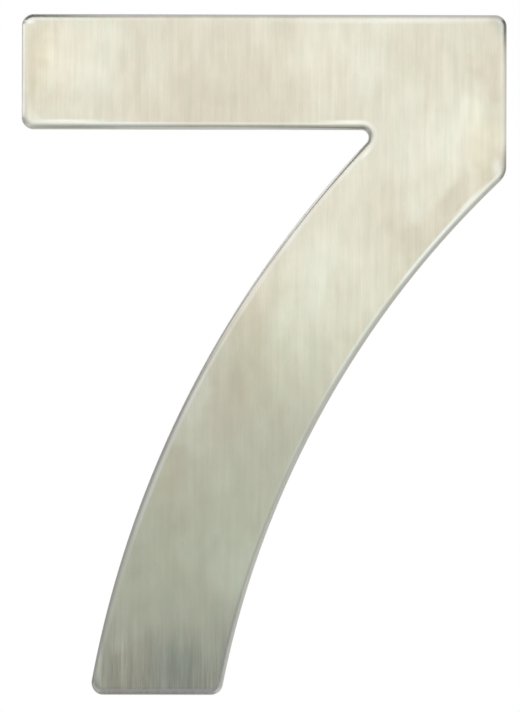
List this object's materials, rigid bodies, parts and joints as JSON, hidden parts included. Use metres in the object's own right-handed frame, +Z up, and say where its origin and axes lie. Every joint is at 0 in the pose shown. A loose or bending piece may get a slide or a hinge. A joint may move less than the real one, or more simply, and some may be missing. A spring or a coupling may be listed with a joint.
{
  "type": "house number",
  "caption": "Cast house number in the form of a plain numeral seven, with a rolled rim, a brushed satin face and tapped holes in its flat back for hidden wall studs.",
  "frame": {"origin": "centre of the outline's box, on the flat back", "axes": "+Z up the number, +Y out of its back into the wall, so the face looks along -Y with +X to the reader's right"},
  "size_m": [0.0724, 0.0063, 0.1016],
  "materials": {
    "satin_nickel": "satin nickel plate over cast brass, brushed up and down the face"
  },
  "bodies": {
    "root": {"number_seven": "satin_nickel"}
  },
  "joints": []
}
